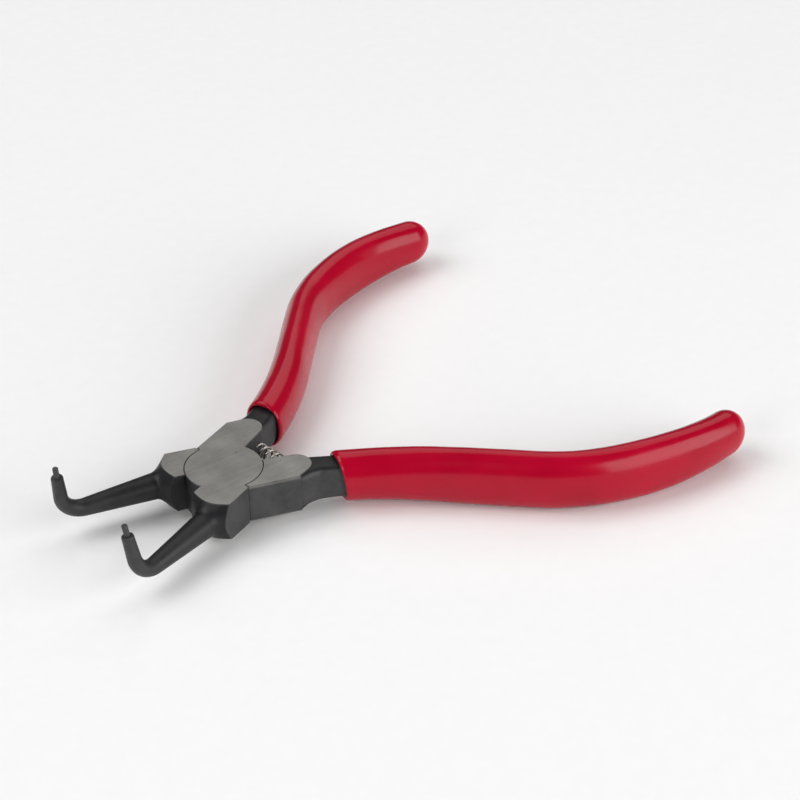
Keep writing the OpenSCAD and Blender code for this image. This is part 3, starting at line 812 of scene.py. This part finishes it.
def handle_rings(s, half, exponent, dip=(0.0, 0.0, 0.0)):
    """Half width times a power of the cosine, half height times a power of the sine, the power being 2 over
    the exponent. Near the mouth, dip moves points along the path: towards the head, back again on the
    outside, and towards the head at the top."""
    t = np.linspace(-np.pi, np.pi, HANDLE_COLUMNS, endpoint=False)
    power = (2 / exponent)[:, None]
    c = np.sign(np.cos(t)) * np.abs(np.cos(t)) ** power
    v = np.sign(np.sin(t)) * np.abs(np.sin(t)) ** power
    flare = NECK_FLARE * (1 - ease(s / FLARE_LEN))
    u = c * (half[:, :1] + np.where(c > 0, flare[:, None], 0))
    at_mouth = ease(s / MOUTH) * (1 - ease((s - MOUTH) / (2 * MOUTH)))
    along = at_mouth[:, None] * (dip[1] * c - dip[2] * v - dip[0])
    a = np.interp(s, walk, walk_heading)[:, None]
    x, y = (np.interp(s, walk, walk_point[:, j])[:, None] for j in range(2))
    return np.stack([x - u * np.sin(a) + along * np.cos(a), y + u * np.cos(a) + along * np.sin(a),
                     MID_Z + half[:, 1:] * v], axis=-1)


mouth = np.array([MOUTH])
mouth_ring = handle_rings(mouth, grip_half(mouth), np.array([2.0]))
print("middle of a mouth at", mouth_ring.mean(axis=(0, 1)).round(1))

# %% [markdown]
# ## The two levers
#
# A lever is its lap half, the other halves of its two blocks, the bent jaw and the handle's steel.
# The upper one has its lap on top, its jaw at the near side and its handle at the far side; the lower
# one is its mirror image with the lap at the bottom, which is how crossed tools of this kind are made.
# The rivet is set hard in the upper lever and runs free in the lower one, so their bores differ a little.

# %% Levers
RIVET_R, RIVET_HEAD_R, RIVET_HEAD_H = 2.5, 3.5, 1.2
SET_GAP, RUNNING_GAP = 0.02, 0.05
# The shank's sides are paler than its top and underside: painted reflection of the pale floor, with some
# rubbing.
SHANK_START, SHANK_OUT_WEAR_AND_SHEEN, SHANK_IN_WEAR_AND_SHEEN, SHANK_SIDE_DEG, SHANK_FADE_DEG = -1.6, 0.5, 0.4, 58, 16


def lever_shells(lap_face, other_face, lap_back, gap):
    """Shells of one lever with its jaw at +Y, from the heights of its lap's face, the other face and the
    lap's back, and the gap in its bore."""
    deep = RIVET_HEAD_H if lap_face < lap_back else -RIVET_HEAD_H
    bore = [(RIVET_HEAD_R + gap, lap_face), (RIVET_R + gap, lap_face + deep), (RIVET_R + gap, lap_back)]
    s = np.concatenate([np.linspace(SHANK_START, MOUTH, 40), np.linspace(MOUTH, STEEL_END, 60)[1:]])
    t = np.linspace(-180, 180, HANDLE_COLUMNS, endpoint=False)
    # Paler sides, darker top and underside: painted floor reflection, partly rubbing.
    outer = ease((SHANK_SIDE_DEG - np.abs(t)) / SHANK_FADE_DEG)
    inner = ease((np.abs(t) - 180 + SHANK_SIDE_DEG) / SHANK_FADE_DEG)
    shank_wear_and_sheen = SHANK_OUT_WEAR_AND_SHEEN * outer + SHANK_IN_WEAR_AND_SHEEN * inner
    shank = skin(handle_rings(s, steel_half(s), squareness(s)), shank_wear_and_sheen)
    return [block(lap_outline, lap_back, lap_face, bore), block(jaw_outline, lap_back, other_face),
            block(block_outline, lap_back, other_face), arm_shell, mirrored(shank)]


upper_shells = [mirrored(shell) for shell in lever_shells(HEAD_T, 0.0, MID_Z + FACE_GAP / 2, SET_GAP)]
lower_shells = lever_shells(0.0, HEAD_T, MID_Z - FACE_GAP / 2, RUNNING_GAP)
steel_finishes = [black_forging, ground_flat, filed_edge]
make_piece("upper_lever_forging", upper_shells, steel_finishes, "upper_lever", "upper", 30)
make_piece("lower_lever_forging", lower_shells, steel_finishes, "lower_lever", "lower", 30)

# %% [markdown]
# ## Turned pieces: tip pins and rivet
#
# The pins and the rivet came off a lathe, so each is a profile turned about an axis. A Screw modifier could
# turn them, but the formula is as short and puts a pin straight into its slanting place. A pin has a thin
# root pressed into the jaw and a free end with a small chamfer. The rivet's two heads fill the countersinks
# and are ground flush with the head.

# %% Pins and rivet
PIN_R, PIN_ROOT_R, PIN_IN, PIN_OUT, PIN_CHAMFER = 0.6, 0.4, 4.0, 2.5, 0.12


def lathe(profile, origin, axes, columns=48):
    """A profile of (radius, height) turned about an axis: radius times cosine and sine, at each height."""
    t = np.linspace(0, 2 * np.pi, columns, endpoint=False)
    r, z = np.array(profile).T[:, :, None]
    local = np.stack(np.broadcast_arrays(r * np.cos(t), r * np.sin(t), z), axis=-1)
    return skin(origin + local @ np.asarray(axes).T)


pin_top, pin_bulge = TIP_LEN + PIN_OUT, CHAMFER_BULGE * PIN_CHAMFER
pin_profile = [(PIN_ROOT_R, TIP_LEN - PIN_IN), (PIN_ROOT_R, TIP_LEN), (PIN_R, TIP_LEN),
               (PIN_R, pin_top - PIN_CHAMFER), (PIN_R - pin_bulge, pin_top - pin_bulge),
               (PIN_R - PIN_CHAMFER, pin_top)]
pin_shell = lathe(pin_profile, tip_start, tip_axes)
make_piece("lower_tip_pin_steel", [pin_shell], [black_pin], "lower_tip_pin", "lower")
make_piece("upper_tip_pin_steel", [mirrored(pin_shell)], [black_pin], "upper_tip_pin", "upper")
rivet_profile = [(RIVET_HEAD_R, 0), (RIVET_R, RIVET_HEAD_H),
                 (RIVET_R, HEAD_T - RIVET_HEAD_H), (RIVET_HEAD_R, HEAD_T)]
make_piece("flush_rivet", [lathe(rivet_profile, np.zeros(3), np.eye(3), 96)], [ground_rivet],
           "pivot_rivet", "upper")

# %% [markdown]
# ## The dipped sleeves
#
# A sleeve is one skin: out of the cavity, over the round lip, along the outside and over the blunt end. A
# Solidify modifier over the steel gives an even wall, but here it is thicker at the mouth. The lip is a
# half ellipse from the cavity to the outside, and its lean follows the level of the bath. The outside is a
# little uneven, as a skin that ran before it set is, so its size wanders inwards by a few hundredths of a
# millimetre along the handle. It stays a hair shy of the solid model.

# %% Sleeves
UNEVEN, SLOW_WAVE, QUICK_WAVE, WAVE_LAG, WAVE_HEIGHT = 0.035, 0.31, 0.73, 1.3, 0.6
LIP, SHY, OUTSIDE_RINGS, LAST_DEG = 0.95, 0.01, 150, 88
UPPER_DIP, LOWER_DIP = (0.9, 0.8, 0.0), (0.0, 1.0, 0.6)


def sleeve(dip):
    """Cavity floor, cavity wall, lip, outside and rounded end, as rings along the path. A ring of the lip is
    a mean of the cavity's and the outside's, weighted by half of one less the cosine."""
    def cavity_rings(s):
        return handle_rings(s, core_half(s) + SLEEVE_GAP, squareness(s), dip)

    def oval_rings(s, half):
        return handle_rings(s, half - SHY, np.full(len(s), 2.0), dip)

    cavity = cavity_rings(np.linspace(STEEL_END, MOUTH + LIP, 60))
    steel_end = np.array([STEEL_END])
    bottom = oval_rings(steel_end + SLEEVE_GAP, core_half(steel_end) + SLEEVE_GAP)
    lip_t = np.radians(np.linspace(0, 180, 17)[1:-1])
    lip_s = MOUTH + LIP * (1 - np.sin(lip_t))
    out = ((1 - np.cos(lip_t)) / 2)[:, None, None]
    lip = cavity_rings(lip_s) * (1 - out) + oval_rings(lip_s, grip_half(lip_s)) * out
    round_len = GRIP_H_END / 2
    outside_s = np.linspace(MOUTH + LIP, GRIP_END - round_len, OUTSIDE_RINGS)
    fade = np.sin(np.pi * np.linspace(0, 1, OUTSIDE_RINGS)) ** 0.5
    waves = np.sin(SLOW_WAVE * outside_s) + np.sin(QUICK_WAVE * outside_s + WAVE_LAG)
    wander = UNEVEN * fade * (waves - 2) / 2
    outside = oval_rings(outside_s, grip_half(outside_s) + wander[:, None] * [1, WAVE_HEIGHT])
    end_t = np.radians(np.linspace(0, LAST_DEG, 26)[1:])
    end_s = GRIP_END - round_len * (1 - np.sin(end_t))
    end = oval_rings(end_s, grip_half(end_s) * np.cos(end_t)[:, None])
    return skin(np.concatenate([bottom, cavity, lip, outside, end]))


upper_shell, lower_shell = sleeve(UPPER_DIP), mirrored(sleeve(LOWER_DIP))
make_piece("upper_dipped_sleeve", [upper_shell], [red_sleeve], "upper_grip", "upper", 60)
make_piece("lower_dipped_sleeve", [lower_shell], [red_sleeve], "lower_grip", "lower", 60)

# %% [markdown]
# ## The return spring
#
# A coil of thin wire between two blind holes, its axis slanting a little. A curve with a round bevel could
# make it, but as rings the closed-up first and last turns are one broken line in the formula. The wire's
# section stands square to the helix. The spring spans both levers, but here it is one stiff piece that rides
# on neither of them.

# %% Spring
SPRING_X, SPRING_R, WIRE_R, TURNS, SEAT_Y, SLANT = 13.0, 1.75, 0.26, 12.5, 9.6, 6.0
END_GAP, CLOSED_TURN = 0.02, 2.2
spring_middle = np.array([SPRING_X, 0.0, MID_Z])


def coil(columns=14, per_turn=40):
    """Rings round a helix: the normal points to the axis, the binormal is tangent times normal."""
    mean_r, half = SPRING_R - WIRE_R, SEAT_Y - END_GAP - WIRE_R
    t = np.linspace(0, TURNS, int(TURNS * per_turn) + 1)
    closed = CLOSED_TURN * WIRE_R
    y = np.interp(t, [0, 1, TURNS - 1, TURNS], [-half, closed - half, half - closed, half])
    a = 2 * np.pi * t
    centre = np.column_stack([mean_r * np.cos(a), y, mean_r * np.sin(a)])
    tangent = np.gradient(centre, axis=0)
    tangent /= np.linalg.norm(tangent, axis=1)[:, None]
    inward = np.column_stack([-np.cos(a), np.zeros_like(a), -np.sin(a)])
    binormal = np.cross(tangent, inward)
    w = np.linspace(0, 2 * np.pi, columns, endpoint=False)[None, :, None]
    rings = centre[:, None] + WIRE_R * (np.cos(w) * inward[:, None] + np.sin(w) * binormal[:, None])
    return skin(spring_middle + rings @ turn("Z", SLANT).T)


spring = make_piece("return_spring_wire", [coil()], [wire], "return_spring")
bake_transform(spring)

# %% [markdown]
# ## Floor
#
# The photograph is a studio shot on white. The floor is a large sheet of matte white paper just below the
# tool, so it gives the pale background and keeps the shadow.

# %% Floor
HALF_FLOOR, FLOOR_GAP = 6.0, 0.1 * MM
floor_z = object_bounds()[0][2] - FLOOR_GAP
floor_corners = np.array([[-1, -1, 0], [1, -1, 0], [1, 1, 0], [-1, 1, 0]]) * HALF_FLOOR + [0, 0, floor_z]
floor_mesh = bpy.data.meshes.new("floor")
floor_mesh.from_pydata(floor_corners.tolist(), [], [(0, 1, 2, 3)])
floor = bpy.data.objects.new("floor", floor_mesh)
scene.collection.objects.link(floor)
floor_material, tree, place = new_material("matte_white_paper")
fibre = add(tree, "ShaderNodeTexNoise", {"Scale": per_metre(3.0), "Detail": 2.0},
            {"Vector": (place, "Object")})
paper = ramp(tree, (fibre, "Fac"), [(0.3, "#f9f9f9"), (0.7, "#fbfbfb")])
paper_shader = add(tree, "ShaderNodeBsdfPrincipled", {"Roughness": 0.9, "Specular IOR Level": 0.1},
                   {"Base Color": (paper, "Color")})
add(tree, "ShaderNodeOutputMaterial", links={"Surface": (paper_shader, "BSDF")})
floor_mesh.materials.append(floor_material)
print("floor at", round(floor_z / MM, 2), "mm")

# %% [markdown]
# ## Light
#
# Where the lamps stand can be read from the tool itself: each bright streak on a grip mirrors a lamp, so the
# grip's slope at that place tells the direction. A low wide softbox at the right makes the streaks on the
# near grip, a panel behind gives the ground flats their grey, and two more from the left fill the shadows.
# Together they light the floor to about its own colour, and a dim room keeps the dark parts dark.


# %% Lamps and world
def soft_lamp(name, place_m, aim_m, width, height, watts):
    """A rectangular soft lamp at a place, its +Z pointing back from what it lights: the other two axes are
    cross products with the vertical."""
    data = bpy.data.lights.new(name, "AREA")
    data.shape, data.size, data.size_y, data.energy = "RECTANGLE", width, height, watts
    z = np.array(place_m) - np.array(aim_m)
    z /= np.linalg.norm(z)
    x = np.cross([0, 0, 1], z)
    x /= np.linalg.norm(x)
    lamp = bpy.data.objects.new(name, data)
    lamp_axes = np.column_stack([x, np.cross(z, x), z, place_m])
    lamp.matrix_world = Matrix(np.vstack([lamp_axes, [0, 0, 0, 1]]).tolist())
    scene.collection.objects.link(lamp)


soft_lamp("right_softbox", (0.44, -1.02, 0.40), (0.06, 0.0, 0.02), 1.25, 0.8, 12.0)
soft_lamp("left_back_softbox", (-0.75, 0.55, 1.15), (0.04, 0.0, 0.0), 1.1, 1.1, 12.0)
soft_lamp("back_panel", (0.64, 0.38, 1.06), (0.04, 0.0, 0.0), 1.2, 1.2, 5.4)
soft_lamp("left_softbox", (-1.1, -0.35, 0.6), (0.04, 0.0, 0.0), 0.55, 0.55, 3.6)
world = bpy.data.worlds.new("studio_room")
scene.world = world
world.use_nodes = True
room = world.node_tree
room.nodes.clear()
air = add(room, "ShaderNodeBackground", {"Color": linear("#ffffff"), "Strength": 0.08})
add(room, "ShaderNodeOutputWorld", links={"Surface": (air, "Background")})
scene.view_settings.view_transform = "Standard"
print("lamps:", sorted(light.name for light in bpy.data.lights))
